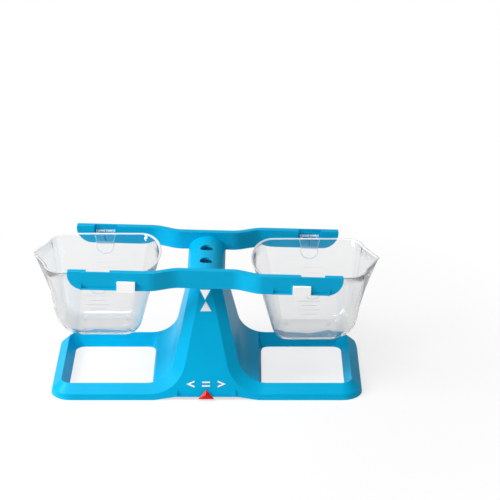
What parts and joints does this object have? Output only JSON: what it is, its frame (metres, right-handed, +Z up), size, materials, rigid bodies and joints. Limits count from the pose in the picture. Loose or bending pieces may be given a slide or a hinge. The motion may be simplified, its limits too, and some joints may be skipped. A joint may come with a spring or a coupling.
{
  "type": "bucket balance",
  "caption": "Clear pouring buckets hang from a rocking beam on a hollow looped stand, with sliding zero clips, a pointer and a comparison slider.",
  "frame": {"origin": "on the floor under the middle of the stand's footprint", "axes": "+Z up, -Y towards the front with the pointer and the slider, +X to the right bucket"},
  "size_m": [0.4221, 0.1664, 0.1672],
  "materials": {
    "blue_plastic": "glossy moulded, opaque",
    "clear_plastic": "clear moulded, polished",
    "white_plastic": "satin moulded",
    "red_plastic": "glossy moulded, opaque",
    "white_print": "flat white print"
  },
  "bodies": {
    "stand": {"stand": "blue_plastic", "index_triangle": "white_print", "less_than_mark": "white_print", "equals_mark_upper": "white_print", "equals_mark_lower": "white_print", "greater_than_mark": "white_print"},
    "beam": {"beam": "blue_plastic", "pointer_triangle": "white_print"},
    "left_bucket": {"left_bucket": "clear_plastic"},
    "right_bucket": {"right_bucket": "clear_plastic"},
    "left_zero_clip": {"left_zero_clip": "white_plastic"},
    "right_zero_clip": {"right_zero_clip": "white_plastic"},
    "comparison_slider": {"comparison_slider": "red_plastic"}
  },
  "joints": [
    {"name": "beam_tilt", "type": "hinge", "parent": "stand", "child": "beam", "pos_m": [0, 0, 0.15], "axis": [0, 1, 0], "range_deg": [-9.57, 6.43]},
    {"name": "left_bucket_swing", "type": "hinge", "parent": "beam", "child": "left_bucket", "pos_m": [-0.12748, 0, 0.14879], "axis": [0, 1, 0], "range_deg": [-8.43, 11.57]},
    {"name": "right_bucket_swing", "type": "hinge", "parent": "beam", "child": "right_bucket", "pos_m": [0.12722, 0, 0.14181], "axis": [0, 1, 0], "range_deg": [-8.43, 11.57]},
    {"name": "left_zero_slide", "type": "slide", "parent": "beam", "child": "left_zero_clip", "axis": [0.9996, 0, -0.0274], "range_m": [-0.0416, 0.0016]},
    {"name": "right_zero_slide", "type": "slide", "parent": "beam", "child": "right_zero_clip", "axis": [0.9996, 0, -0.0274], "range_m": [-0.0225, 0.0207]},
    {"name": "comparison_slide", "type": "slide", "parent": "stand", "child": "comparison_slider", "axis": [1, 0, 0], "range_m": [-0.0245, 0.0245]}
  ]
}
